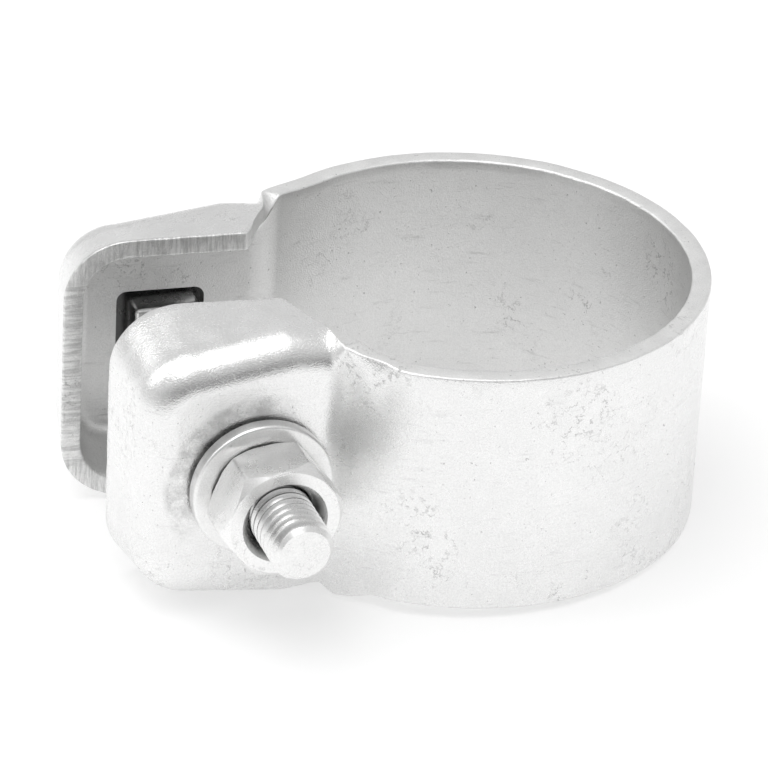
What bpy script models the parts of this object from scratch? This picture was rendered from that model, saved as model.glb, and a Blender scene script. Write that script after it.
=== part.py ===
"""Single-bolt pipe clamp: a pressed sheet band with two tray-shaped lugs, drawn together by a carriage bolt.

The bore's axis is world Z and its middle is the origin. The lugs point along -X. The bolt crosses both
lugs along Y, with its thread towards -Y and its domed head outside the rear lug at +Y.
Plan points are kept as (x, w), where w is the distance from the plane between the lugs.
"""

from math import acos, atan2, cos, pi, radians, sin, sqrt, tan

import bmesh
import bpy
from mathutils import Matrix, Vector

MM = 0.001

# Ring
BORE_RADIUS = 27.25 * MM
SHEET = 2.45 * MM
BAND_WIDTH = 32.0 * MM
OUTER_RADIUS = BORE_RADIUS + SHEET

# Lugs: flat face, flanges bent inwards round three sides, and the neck that runs into the ring.
# Flare is how much deeper a flange gets for each length along the lug.
LUG_ROOT_X = -27.6 * MM
LUG_FACE_W = 19.9 * MM
LUG_RISE = 2.1 * MM
LUG_TAPER = radians(8.0)
FRONT_TOE = radians(3.5)
REAR_TOE = radians(1.5)
FRONT_LENGTH = 19.0 * MM
REAR_LENGTH = 21.3 * MM
FLANGE_DEPTH = 11.7 * MM
FRONT_FLARE = 0.15
REAR_FLARE = 0.0
BEND_RADIUS = 4.5 * MM
CORNER_RADIUS = 8.0 * MM
NECK_RADIUS = 3.5 * MM
NECK_RUN = radians(17.0)
FLANGE_NOSE = 2.5 * MM

# Bolt line: where it crosses the plane between the lugs, and its lean in plan
BOLT_X = -32.7 * MM
BOLT_Z = -0.5 * MM
BOLT_LEAN = radians(4.0)
SQUARE_HOLE = 11.2 * MM
SQUARE_HOLE_CORNER = 1.3 * MM
SQUARE_HOLE_X = -0.8 * MM
SQUARE_HOLE_Z = 0.4 * MM
ROUND_HOLE_RADIUS = 4.75 * MM

# M8 carriage bolt, washer and nut, with distances measured along the bolt towards its tip
SHANK_RADIUS = 3.7 * MM
TIP_RADIUS = 3.2 * MM
HEAD_RADIUS = 8.6 * MM
HEAD_HEIGHT = 4.4 * MM
HEAD_EDGE = 0.9 * MM
NECK_SIDE = 8.6 * MM
NECK_LENGTH = 4.6 * MM
HEAD_SEAT = -21.5 * MM
BOLT_TIP = 37.2 * MM
WASHER_SEAT = 20.75 * MM
WASHER_RADIUS = 9.1 * MM
WASHER_HOLE = 4.3 * MM
WASHER_THICK = 1.8 * MM
NUT_FLATS = 13.4 * MM
NUT_HEIGHT = 7.0 * MM
NUT_GAP = 0.3 * MM
NUT_BORE = 4.0 * MM
NUT_SINK = 5.3 * MM
NUT_SINK_DEPTH = 2.0 * MM
NUT_CHAMFER = 1.2 * MM
NUT_ANGLE = radians(7.4)

# Facets
RING_STEPS = 26
RUN_STEPS = 5
NECK_STEPS = 8
ROOT_STEPS = 7
FACE_STEPS = 3
BEND_STEPS = 6
FLANGE_STEPS = 3
CORNER_STEPS = 6
ROUND_STEPS = 36

MERGE = 0.00001


def clear_scene():
    """Empties the scene and the collections and meshes left from an earlier run."""
    for item in list(bpy.data.objects):
        bpy.data.objects.remove(item, do_unlink=True)
    for group in list(bpy.data.collections):
        bpy.data.collections.remove(group)
    for mesh in list(bpy.data.meshes):
        bpy.data.meshes.remove(mesh)


def new_collection(name):
    """A collection linked to the scene."""
    group = bpy.data.collections.new(name)
    bpy.context.scene.collection.children.link(group)
    return group


def new_material(name, colour, roughness):
    """A plated metal."""
    material = bpy.data.materials.new(name)
    material.use_nodes = True
    shader = material.node_tree.nodes["Principled BSDF"]
    shader.inputs["Base Color"].default_value = (*colour, 1.0)
    shader.inputs["Roughness"].default_value = roughness
    shader.inputs["Metallic"].default_value = 1.0
    return material


def new_object(name, mesh, group, material=None):
    """An object for a mesh, in one collection."""
    item = bpy.data.objects.new(name, mesh)
    group.objects.link(item)
    if material:
        mesh.materials.append(material)
    return item


def hide_tool(item):
    """Marks a cutter or a shape that is only joined to another."""
    item.hide_render = True
    item.display_type = "WIRE"


def boolean(item, tool, operation):
    """Cuts, joins or intersects an object with a tool."""
    modifier = item.modifiers.new(tool.name, "BOOLEAN")
    modifier.operation = operation
    modifier.solver = "EXACT"
    modifier.object = tool


def smooth_step(t):
    """Eases from 0 to 1."""
    t = min(max(t, 0.0), 1.0)
    return t * t * (3.0 - 2.0 * t)


def smooth_min(a, b, width):
    """The smaller of two lengths, with the corner between them rounded."""
    h = max(width - abs(a - b), 0.0) / width
    return min(a, b) - h * h * width * 0.25


class LugPlan:
    """The outer surface of one half of the band in plan: ring, neck and flat lug face."""

    def __init__(self, toe):
        self.along = Vector((-cos(toe), sin(toe)))
        self.out = Vector((sin(toe), cos(toe)))
        self.root = Vector((LUG_ROOT_X, LUG_FACE_W))
        offset = self.root + self.out * NECK_RADIUS
        reach = OUTER_RADIUS + NECK_RADIUS
        half = offset.dot(self.along)
        self.run_out = -half + sqrt(half * half - offset.dot(offset) + reach * reach)
        self.centre = offset + self.along * self.run_out
        on_ring = self.centre * (OUTER_RADIUS / reach)
        self.ring_angle = atan2(on_ring.y, -on_ring.x)
        self.start_angle = self.ring_angle + NECK_RUN
        inward = (on_ring - self.centre) / NECK_RADIUS
        self.neck_from = atan2(inward.y, inward.x)
        self.neck_to = atan2(-self.out.y, -self.out.x)

    def ring_point(self, angle):
        """A point on the ring's outside and the way in from it, at an angle from the lug side."""
        way = Vector((-cos(angle), sin(angle)))
        return way * OUTER_RADIUS, -way

    def neck_point(self, t):
        """A point along the hollow bend between ring and lug."""
        angle = self.neck_from + (self.neck_to - self.neck_from) * t
        way = Vector((cos(angle), sin(angle)))
        return self.centre + way * NECK_RADIUS, way

    def face_point(self, length):
        """A point on the flat face, a length beyond the root."""
        return self.root + self.along * length, -self.out

    def run_stations(self):
        """Outline points with their ways in, along the ring where its edges start to rise."""
        turn = self.ring_angle - self.start_angle
        return [self.ring_point(self.start_angle + turn * i / RUN_STEPS) for i in range(RUN_STEPS)]

    def neck_stations(self):
        """Outline points with their ways in, from the start of the hollow bend to the root of the lug."""
        result = [self.neck_point(i / NECK_STEPS) for i in range(NECK_STEPS)]
        for i in range(ROOT_STEPS + 1):
            result.append(self.face_point(self.run_out * (1.0 - i / ROOT_STEPS)))
        return result

    def reach(self, point, way):
        """How far in the sheet reaches: to the bore beside the ring, to the full flange along the lug."""
        towards = point.dot(way)
        left = towards * towards - point.dot(point) + BORE_RADIUS * BORE_RADIUS
        if left <= 0.0:
            return FLANGE_DEPTH
        return smooth_min(-towards - sqrt(left), FLANGE_DEPTH, FLANGE_NOSE)


def edge_heights(stations):
    """Height of the sheet's edge at each station, easing from the ring's edge up to the lug's flange."""
    travelled = [0.0]
    for before, after in zip(stations, stations[1:]):
        travelled.append(travelled[-1] + (after[0] - before[0]).length)
    return [BAND_WIDTH / 2.0 + LUG_RISE * smooth_step(d / travelled[-1]) for d in travelled]


def bent_row(plan, point, way, height):
    """One half section of the neck: straight up from mid-height, then bent in as far as it reaches."""
    reach = plan.reach(point, way)
    bend = pi / 2.0
    if reach < BEND_RADIUS:
        bend = acos(min((BEND_RADIUS - reach) / (BEND_RADIUS - SHEET), 1.0))
    straight = height - BEND_RADIUS * sin(bend)
    arc = BEND_RADIUS * bend
    total = arc + max(reach - BEND_RADIUS, 0.0)
    row = [(point, straight * i / FACE_STEPS) for i in range(FACE_STEPS)]
    for share in bend_shares():
        distance = total * share
        angle = min(distance, arc) / BEND_RADIUS
        inner = BEND_RADIUS * (1.0 - cos(angle)) + max(distance - arc, 0.0)
        row.append((point + way * inner, straight + BEND_RADIUS * sin(angle)))
    return row


def bend_shares():
    """Where the points lie along bend and flange, as shares of their length at the root of the lug."""
    arc = BEND_RADIUS * pi / 2.0
    flange = FLANGE_DEPTH - BEND_RADIUS
    lengths = [arc * i / BEND_STEPS for i in range(BEND_STEPS)]
    lengths += [arc + flange * i / FLANGE_STEPS for i in range(FLANGE_STEPS + 1)]
    return [length / (arc + flange) for length in lengths]


def neck_rows(plan):
    """Rows lofted from the ring's straight section to the lug's bent one: the plain rows, then the bent."""
    run = plan.run_stations()
    neck = plan.neck_stations()
    heights = edge_heights(run + neck)
    plain = []
    for (point, way), height in zip(run + neck[:1], heights):
        plain.append([(point, height * i / FACE_STEPS) for i in range(FACE_STEPS + 1)])
    bent = [bent_row(plan, point, way, height) for (point, way), height in zip(neck, heights[len(run):])]
    return plain, bent


def tray_paths(length):
    """The wall of the tray from the root, round its corner, to the middle of its end.

    Each step has the way out across the face, the wall at the end of its bend and the wall's rim,
    as (length along the face, height).
    """
    top = BAND_WIDTH / 2.0 + LUG_RISE
    straight = length - CORNER_RADIUS
    draft = tan(LUG_TAPER) * straight
    steps = []
    for run in (0.0, straight):
        steps.append((Vector((0.0, 1.0)), Vector((run, top - tan(LUG_TAPER) * run)), Vector((run, top))))
    bend_end = length - 0.4 * draft
    bend_centre = Vector((bend_end - CORNER_RADIUS + 0.4 * draft, top - draft - CORNER_RADIUS + 0.4 * draft))
    rim_centre = Vector((straight, top - CORNER_RADIUS))
    bend_corner = CORNER_RADIUS - 0.4 * draft
    for i in range(1, CORNER_STEPS + 1):
        angle = pi / 2.0 * i / CORNER_STEPS
        way = Vector((sin(angle), cos(angle)))
        steps.append((way, bend_centre + way * bend_corner, rim_centre + way * CORNER_RADIUS))
    steps.append((Vector((1.0, 0.0)), Vector((bend_end, 0.0)), Vector((length, 0.0))))
    return steps


def tray_rows(plan, length, flare):
    """Rows of points across the tray's bent wall, from the flat face to the rim."""
    rows = []
    for way, wall, rim in tray_paths(length):
        row = []
        flange = FLANGE_DEPTH + flare * min(rim.x, length - CORNER_RADIUS) - BEND_RADIUS
        for i in range(BEND_STEPS + 1):
            angle = pi / 2.0 * i / BEND_STEPS
            place = wall - way * (BEND_RADIUS * (1.0 - sin(angle)))
            row.append((place, BEND_RADIUS * (1.0 - cos(angle))))
        for i in range(1, FLANGE_STEPS + 1):
            share = i / FLANGE_STEPS
            row.append((wall.lerp(rim, share), BEND_RADIUS + flange * share))
        rows.append([(plan.face_point(place.x)[0] - plan.out * depth, place.y) for place, depth in row])
    return rows


def add_grid(mesh, rows):
    """Skins rows of points with quads."""
    made = [[mesh.verts.new(point) for point in row] for row in rows]
    for before, after in zip(made, made[1:]):
        for i in range(len(before) - 1):
            mesh.faces.new((before[i], before[i + 1], after[i + 1], after[i]))


def add_face(mesh, points):
    """One flat face."""
    mesh.faces.new([mesh.verts.new(point) for point in points])


def add_half(mesh, side, toe, length, flare):
    """The upper half of the band from the ring's far side to one lug's end, as its outer surface."""

    def world(row):
        return [(plan_point.x, side * plan_point.y, height) for plan_point, height in row]

    plan = LugPlan(toe)
    top = BAND_WIDTH / 2.0
    angles = [pi + (plan.start_angle - pi) * i / RING_STEPS for i in range(RING_STEPS)]
    ring = [world([(plan.ring_point(a)[0], 0.0), (plan.ring_point(a)[0], top)]) for a in angles]
    add_grid(mesh, ring)
    plain, bent = neck_rows(plan)
    plain = [world(row) for row in plain]
    add_face(mesh, ring[-1] + plain[0][::-1])
    add_grid(mesh, plain)
    neck = [world(row) for row in bent]
    add_grid(mesh, neck)
    tray = [world(row) for row in tray_rows(plan, length, flare)]
    add_grid(mesh, tray)
    add_face(mesh, neck[-1][:FACE_STEPS] + [row[0] for row in tray])


def build_band(parts, tools, material):
    """The band: an open outer surface, mirrored about mid-height, made solid inwards and pierced."""
    mesh = bmesh.new()
    add_half(mesh, -1.0, FRONT_TOE, FRONT_LENGTH, FRONT_FLARE)
    add_half(mesh, 1.0, REAR_TOE, REAR_LENGTH, REAR_FLARE)
    bmesh.ops.remove_doubles(mesh, verts=mesh.verts[:], dist=MERGE)
    bmesh.ops.recalc_face_normals(mesh, faces=mesh.faces[:])
    far = max(mesh.faces, key=lambda face: face.calc_center_median().x)
    if far.normal.x < 0.0:
        bmesh.ops.reverse_faces(mesh, faces=mesh.faces[:])
    data = bpy.data.meshes.new("clamp_band")
    mesh.to_mesh(data)
    mesh.free()
    band = new_object("clamp_band", data, parts, material)

    mirror = band.modifiers.new("other half", "MIRROR")
    mirror.use_axis = (False, False, True)
    mirror.merge_threshold = MERGE
    solid = band.modifiers.new("sheet", "SOLIDIFY")
    solid.thickness = SHEET
    solid.offset = -1.0
    solid.use_even_offset = True

    bpy.ops.mesh.primitive_cube_add(size=1.0)
    square = bpy.context.object
    square.name = "square_hole"
    square.data.transform(Matrix.Diagonal((SQUARE_HOLE, 8.0 * MM, SQUARE_HOLE, 1.0)))
    place_on_bolt(square, 18.5 * MM, SQUARE_HOLE_Z, -REAR_TOE)
    square.location.x += SQUARE_HOLE_X
    rounding = square.modifiers.new("corners", "BEVEL")
    rounding.width = SQUARE_HOLE_CORNER
    rounding.segments = 4

    bpy.ops.mesh.primitive_cylinder_add(vertices=ROUND_STEPS, radius=ROUND_HOLE_RADIUS, depth=8.0 * MM)
    hole = bpy.context.object
    hole.name = "round_hole"
    place_on_bolt(hole, -19.0 * MM, BOLT_Z, FRONT_TOE)
    hole.rotation_euler.x = pi / 2.0
    for tool in (square, hole):
        move_to(tool, tools)
        hide_tool(tool)
        boolean(band, tool, "DIFFERENCE")
    return band


def move_to(item, group):
    """Puts an object in one collection only."""
    for old in list(item.users_collection):
        old.objects.unlink(item)
    group.objects.link(item)


def place_on_bolt(item, y, z, turn):
    """Places an object where the bolt's line crosses a lug, turned with that lug."""
    item.location = (BOLT_X - tan(BOLT_LEAN) * y, y, z)
    item.rotation_euler = (0.0, 0.0, turn)


def turned(name, profile, group, material=None, closed=False):
    """A turned body from a profile of (radius, height), running down its outer side."""
    data = bpy.data.meshes.new(name)
    edges = [(i, i + 1) for i in range(len(profile) - 1)]
    if closed:
        edges.append((len(profile) - 1, 0))
    data.from_pydata([(radius, 0.0, height) for radius, height in profile], edges, [])
    item = new_object(name, data, group, material)
    screw = item.modifiers.new("turn", "SCREW")
    screw.steps = ROUND_STEPS
    screw.render_steps = ROUND_STEPS
    screw.use_merge_vertices = True
    screw.merge_threshold = MERGE
    return item


def along_bolt(item, axis, distance):
    """Stands a piece on the bolt's line, its own height pointing towards the bolt's tip."""
    item.parent = axis
    item.location = (0.0, -distance, 0.0)
    item.rotation_euler = (pi / 2.0, 0.0, 0.0)


def build_bolt(axis, parts, tools, material):
    """A domed head, a square neck that sits in the square hole, and a round shank."""
    profile = [(0.0, BOLT_TIP), (TIP_RADIUS, BOLT_TIP), (SHANK_RADIUS, BOLT_TIP - 0.7 * MM)]
    profile += [(SHANK_RADIUS, HEAD_SEAT), (HEAD_RADIUS, HEAD_SEAT), (HEAD_RADIUS, HEAD_SEAT - HEAD_EDGE)]
    for i in range(1, 6):
        angle = pi / 2.0 * i / 6
        dome = HEAD_HEIGHT - HEAD_EDGE
        profile.append((HEAD_RADIUS * cos(angle), HEAD_SEAT - HEAD_EDGE - dome * sin(angle)))
    profile.append((0.0, HEAD_SEAT - HEAD_HEIGHT))
    bolt = turned("carriage_bolt", profile, parts, material)
    along_bolt(bolt, axis, 0.0)
    bpy.ops.mesh.primitive_cube_add(size=1.0)
    neck = bpy.context.object
    neck.name = "square_neck"
    overlap = 0.5 * MM
    neck.data.transform(Matrix.Diagonal((NECK_SIDE, NECK_SIDE, NECK_LENGTH + overlap, 1.0)))
    edges = neck.modifiers.new("edges", "BEVEL")
    edges.width = 0.6 * MM
    edges.segments = 2
    move_to(neck, tools)
    hide_tool(neck)
    along_bolt(neck, axis, HEAD_SEAT + (NECK_LENGTH - overlap) / 2.0)
    boolean(bolt, neck, "UNION")


def build_washer(axis, parts, material):
    """A plain washer with broken edges."""
    edge = 0.2 * MM
    top = WASHER_THICK
    profile = [
        (WASHER_RADIUS - edge, top),
        (WASHER_RADIUS, top - edge),
        (WASHER_RADIUS, edge),
        (WASHER_RADIUS - edge, 0.0),
        (WASHER_HOLE, 0.0),
        (WASHER_HOLE, top),
    ]
    washer = turned("plain_washer", profile, parts, material, closed=True)
    along_bolt(washer, axis, WASHER_SEAT)


def build_nut(axis, parts, tools, material):
    """A hexagon with turned chamfers at both ends and a countersunk bore."""
    corner = NUT_FLATS / 2.0 / cos(pi / 6.0)
    bpy.ops.mesh.primitive_cylinder_add(vertices=6, radius=corner, depth=NUT_HEIGHT)
    nut = bpy.context.object
    nut.name = "hex_nut"
    nut.data.transform(Matrix.Rotation(NUT_ANGLE + pi / 6.0, 4, "Z"))
    nut.data.materials.append(material)
    move_to(nut, parts)
    half = NUT_HEIGHT / 2.0
    face = NUT_FLATS / 2.0 - 0.1 * MM
    rise = NUT_CHAMFER / (corner - face)
    over = 0.5 * MM
    top = half + over
    waist = half - over * rise - NUT_CHAMFER
    tip = face - over / rise
    wide = corner + over
    barrel = turned(
        "nut_chamfers",
        [(0.0, top), (tip, top), (wide, waist), (wide, -waist), (tip, -top), (0.0, -top)],
        tools,
    )
    out = 1.0 * MM
    widen = (NUT_SINK - NUT_BORE) * out / NUT_SINK_DEPTH
    bore = turned(
        "nut_bore",
        [
            (0.0, half + out),
            (NUT_SINK + widen, half + out),
            (NUT_BORE, half - NUT_SINK_DEPTH),
            (NUT_BORE, NUT_SINK_DEPTH - half),
            (NUT_SINK + widen, -half - out),
            (0.0, -half - out),
        ],
        tools,
    )
    middle = WASHER_SEAT + WASHER_THICK + NUT_GAP + half
    for item in (nut, barrel, bore):
        along_bolt(item, axis, middle)
    for tool, operation in ((barrel, "INTERSECT"), (bore, "DIFFERENCE")):
        hide_tool(tool)
        boolean(nut, tool, operation)


def main():
    """Builds the clamp."""
    clear_scene()
    parts = new_collection("pipe_clamp")
    tools = new_collection("pipe_clamp_tools")
    plated_sheet = new_material("plated_sheet", (0.80, 0.80, 0.79), 0.36)
    plated_bolt = new_material("plated_bolt", (0.78, 0.78, 0.77), 0.30)
    plated_washer = new_material("plated_washer", (0.76, 0.76, 0.75), 0.34)
    plated_nut = new_material("plated_nut", (0.72, 0.72, 0.71), 0.32)

    axis = bpy.data.objects.new("bolt_axis", None)
    axis.location = (BOLT_X, 0.0, BOLT_Z)
    axis.rotation_euler = (0.0, 0.0, BOLT_LEAN)
    parts.objects.link(axis)

    build_band(parts, tools, plated_sheet)
    build_bolt(axis, parts, tools, plated_bolt)
    build_washer(axis, parts, plated_washer)
    build_nut(axis, parts, tools, plated_nut)
    for item in parts.objects:
        if item.type == "MESH":
            item.data.shade_smooth()
            item.data.set_sharp_from_angle(angle=radians(35.0))


main()
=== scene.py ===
"""Looks of a single-bolt pipe clamp: zinc plating, a rolled thread, sheared edges and a plain studio."""

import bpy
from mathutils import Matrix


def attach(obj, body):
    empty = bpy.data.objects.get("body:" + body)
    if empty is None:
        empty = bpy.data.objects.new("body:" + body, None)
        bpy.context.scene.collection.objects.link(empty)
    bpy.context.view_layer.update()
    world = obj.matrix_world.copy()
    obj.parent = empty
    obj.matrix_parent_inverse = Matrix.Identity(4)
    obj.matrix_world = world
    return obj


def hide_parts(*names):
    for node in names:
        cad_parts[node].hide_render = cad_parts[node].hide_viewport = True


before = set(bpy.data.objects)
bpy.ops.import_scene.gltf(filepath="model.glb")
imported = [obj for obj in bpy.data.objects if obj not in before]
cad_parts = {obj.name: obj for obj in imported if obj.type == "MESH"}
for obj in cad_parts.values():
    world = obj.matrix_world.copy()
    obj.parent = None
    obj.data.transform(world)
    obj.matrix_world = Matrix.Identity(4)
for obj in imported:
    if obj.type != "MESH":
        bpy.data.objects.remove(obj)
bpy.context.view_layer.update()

from math import acos, asin, atan2, cos, pi, radians, sin, sqrt, tan

import bmesh
import bpy
from bpy.props import FloatProperty, FloatVectorProperty, IntProperty, PointerProperty
from mathutils import Matrix, Vector
from mathutils import noise as noise_at

bl_info = {
    "name": "Pipe clamp looks",
    "version": (1, 0, 0),
    "blender": (4, 5, 0),
    "location": "3D View > Sidebar > Clamp",
    "description": "Dresses the packed pipe clamp with plated metal, a real thread and a studio",
    "category": "Object",
}

MM = 0.001
QUARTER = pi / 2.0
UP = Vector((0.0, 0.0, 1.0))
ON_SIDE = Matrix.Rotation(QUARTER, 4, "X")

# Points this near to one another are joined, in metres
MERGE = 0.000002
# Shares this near to 1 count as 1
ROUNDING = 0.00001

# Order of the band's materials on its skins
OUTSIDE, SHEARED, INSIDE = range(3)
# Sides of the plane between the lugs
FRONT = -1.0
REAR = 1.0

# Share of the taper that a lug's end wall has
END_TAPER = 0.4
# Where the holes are cut, and how deep
REAR_FACE = 18.5 * MM
FRONT_FACE = -19.0 * MM
HOLE_DEPTH = 8.0 * MM

# Unevenness of sheared edges, and the number of sections over which it eases in
WAVE_SIZE = 3.2 * MM
RIPPLE_SIZE = 0.9 * MM
TEAR_SIZE = 1.7 * MM
RIPPLE_SHARE = 0.35
EASE_SECTIONS = 8.0

# Thread: shares of flat and of rounding, spare turns, turns over which it fades out, slope of the tip
THREAD_FLAT = 0.09
THREAD_ROUND = 0.35
THREAD_SPARE = 3
THREAD_FADE = 1.6
TIP_SLOPE = 0.85

# Roundings of the bolt's head and neck, facets up its dome, and how far the neck goes into the head
HEAD_ROUND = 0.2 * MM
NECK_ROUND = 0.6 * MM
DOME_STEPS = 16
NECK_OVERLAP = 0.5 * MM

# Rounding and facets of the washer's corners, from the top of its rim on
WASHER_ROUNDS = ((0.45 * MM, 6), (0.12 * MM, 3), (0.15 * MM, 3), (0.25 * MM, 3))

# Rounding of the nut's edges, inset of its round face, and how far its tools stand past it
NUT_ROUND = 0.30 * MM
NUT_FACE_INSET = 0.1 * MM
NUT_OVER = 0.5 * MM
BORE_OVER = 1.0 * MM

# Kinds of sockets on node groups
FLOAT = "NodeSocketFloat"
COLOUR = "NodeSocketColor"
# Where most of a noise's values lie
NOISE_SPREAD = (0.3, 0.7)
# Stretches that draw a noise out into lines
UPRIGHT_LINES = (5.0, 2.0, 0.6)
LEVEL_LINES = (0.6, 2.0, 5.0)
BUMP_STRENGTH = 0.6
FLOOR_SIZE = 4.0


def length(description, millimetres):
    """A distance property with its default given in millimetres."""
    return FloatProperty(description=description, default=millimetres * MM, unit="LENGTH", precision=5)


def angle(description, degrees):
    """An angle property with its default given in degrees."""
    return FloatProperty(description=description, default=radians(degrees), subtype="ANGLE")


def colour(description, value):
    """A colour property."""
    return FloatVectorProperty(description=description, default=value, subtype="COLOR", min=0, max=1)


def factor(description, value, high=1.0):
    """A plain number property from nought up."""
    return FloatProperty(description=description, default=value, min=0.0, max=high)


def count(description, value):
    """A whole number property."""
    return IntProperty(description=description, default=value, min=1)


class BandSettings(bpy.types.PropertyGroup):
    """Sizes of the pressed band and its lugs."""

    bore_radius: length("Inside radius of the ring", 27.25)
    sheet: length("Thickness of the sheet", 2.45)
    width: length("Width of the ring along the pipe", 32.0)
    root_x: length("Where the flat lug face starts, along X", -27.6)
    face_w: length("Distance of the lug face from the middle plane", 19.9)
    rise: length("How far the lug stands above the ring's edge", 2.1)
    taper: angle("How far each flange closes towards the free end", 8.0)
    front_toe: angle("Turn of the front lug out of square", 3.5)
    rear_toe: angle("Turn of the rear lug out of square", 1.5)
    front_length: length("Length of the front lug's flat face and corner", 19.0)
    rear_length: length("Length of the rear lug's flat face and corner", 21.3)
    flange_depth: length("Depth of the bent flange at the lug's root", 11.7)
    front_flare: factor("Growth of the front flange along the lug", 0.15)
    rear_flare: factor("Growth of the rear flange along the lug", 0.0)
    bend_radius: length("Outside radius of the flange's bend", 4.5)
    corner_radius: length("Radius of the tray's corner", 8.0)
    neck_radius: length("Radius of the hollow between ring and lug", 3.5)
    neck_run: angle("Stretch of ring over which its edge rises", 17.0)
    lean: angle("How far the ring's edge leans in beside the front neck", 11.0)
    lean_radius: length("Radius of the ring's curve beside the front neck", 38.0)
    lean_zone: length("Height over which the ring may curve beside the neck", 8.0)
    flange_nose: length("Rounding of a flange's end beside the ring", 2.5)
    square_hole: length("Side of the hole for the bolt's neck", 11.2)
    square_hole_x: length("How far the square hole lies beyond the bolt's line", -0.8)
    square_hole_z: length("Height of the square hole's middle", 0.4)
    square_corner: length("Corner radius of the square hole", 1.3)
    round_hole: length("Radius of the hole under the washer", 4.75)
    edge_round: length("Radius of the rounding along sheared edges", 0.28)
    edge_wander: length("How far the ring's sheared edge wanders", 0.12)
    rim_wander: length("How far the sheared rim of a lug wanders", 0.40)
    burr: length("How much more a sheared edge is torn on the inside", 0.55)
    ring_steps: count("Facets along half of the ring", 96)
    run_steps: count("Facets along the neck's run", 14)
    neck_steps: count("Facets round the hollow of the neck", 20)
    root_steps: count("Facets between neck and flat face", 14)
    face_steps: count("Facets up the straight of half a section", 5)
    bend_steps: count("Facets round the flange's bend", 14)
    flange_steps: count("Facets across the flange", 6)
    straight_steps: count("Facets along each straight of the tray's wall", 14)
    corner_steps: count("Facets round the tray's corner", 16)


class FastenerSettings(bpy.types.PropertyGroup):
    """Sizes of the bolt, washer and nut, measured along the bolt towards its tip."""

    axis_x: length("Where the bolt crosses the plane between the lugs", -32.7)
    axis_z: length("Height of the bolt's line", -0.5)
    lean: angle("Lean of the bolt in plan", 4.0)
    shank_radius: length("Radius of the plain shank", 3.6)
    crest_radius: length("Radius over the thread's crests", 3.9)
    root_radius: length("Radius at the thread's root", 3.24)
    pitch: length("Distance between thread turns", 1.25)
    thread_length: length("Length of the thread from the tip", 24.0)
    tip_radius: length("Radius of the flat at the tip", 3.1)
    head_radius: length("Radius of the domed head", 8.6)
    head_height: length("Height of the domed head", 4.4)
    head_edge: length("Height of the head's straight edge", 0.9)
    neck_side: length("Side of the square neck", 8.6)
    neck_length: length("Length of the square neck", 4.6)
    head_seat: length("Underside of the head along the bolt", -21.5)
    tip: length("End of the bolt", 37.2)
    washer_seat: length("Back of the washer along the bolt", 20.75)
    washer_radius: length("Outside radius of the washer", 8.8)
    washer_x: length("How far the washer hangs to one side on the bolt", -0.25)
    washer_z: length("How far the washer sits above the bolt's line", 0.25)
    washer_hole: length("Radius of the washer's hole", 4.3)
    washer_thick: length("Thickness of the washer", 1.8)
    nut_flats: length("Width across the nut's flats", 13.8)
    nut_height: length("Height of the nut", 7.0)
    nut_gap: length("Gap between nut and washer", 0.3)
    nut_bore: length("Radius of the nut's bore", 4.0)
    nut_sink: length("Radius of the countersink at the nut's face", 5.3)
    nut_sink_depth: length("Depth of the countersink", 2.0)
    nut_chamfer: length("Height of the chamfer at the nut's corners", 1.2)
    nut_turn: angle("How the nut's corners are turned", 7.4)
    round_steps: count("Facets round a turned piece", 96)


class FinishSettings(bpy.types.PropertyGroup):
    """Colours of the plated metal, and of the painted shade in the holes."""

    outside: colour("Plating on the outside of the band", (0.88, 0.88, 0.877))
    # The inside is a darker copy of the outside's plating: the lower tone is painted shade inside the ring
    inside: colour("Plating on the inside of the band", (0.76, 0.76, 0.755))
    sheared: colour("Sheared edges of the sheet", (0.89, 0.89, 0.885))
    # Dark colour of the hole walls: painted shade, so the gap round the bolt's neck reads black
    hole_shade: colour("Walls of the punched holes", (0.22, 0.22, 0.217))
    bolt: colour("Plating on the bolt", (0.89, 0.89, 0.885))
    washer: colour("Plating on the washer", (0.90, 0.90, 0.895))
    nut: colour("Plating on the nut", (0.91, 0.91, 0.905))


class StageSettings(bpy.types.PropertyGroup):
    """Floor, light and camera."""

    floor_colour: colour("Colour of the floor", (0.60, 0.60, 0.60))
    floor_glow: factor("Brightness of the floor's own glow", 0.49)
    floor_tilt: angle("Tilt of the floor down towards the lugs", 2.0)
    world_strength: factor("Brightness of the surroundings", 0.72, 10.0)
    front_shade: factor("How dark the room is behind the camera", 0.75)
    key_power: factor("Power of the lamp overhead, in watts", 1.2, 100.0)
    side_power: factor("Power of the lamp on the left, in watts", 0.3, 100.0)
    lens: length("Focal length of the camera", 234.375)
    camera_x: length("Camera position", -168.22)
    camera_y: length("Camera position", -516.54)
    camera_z: length("Camera position", 305.90)
    azimuth: angle("Turn of the camera about the upright", -17.0)
    elevation: angle("Height of the camera above the horizon", 29.553)
    roll: angle("Roll of the camera", 3.17)


def smooth_step(t):
    """Eases from 0 to 1."""
    t = min(max(t, 0.0), 1.0)
    return t * t * (3.0 - 2.0 * t)


def smooth_min(a, b, width):
    """The smaller of two lengths, with the corner between them rounded."""
    h = max(width - abs(a - b), 0.0) / width
    return min(a, b) - h * h * width * 0.25


def quarter_turns(steps, first=0):
    """Even steps of a quarter turn, from the first on."""
    return [QUARTER * i / steps for i in range(first, steps + 1)]


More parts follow.
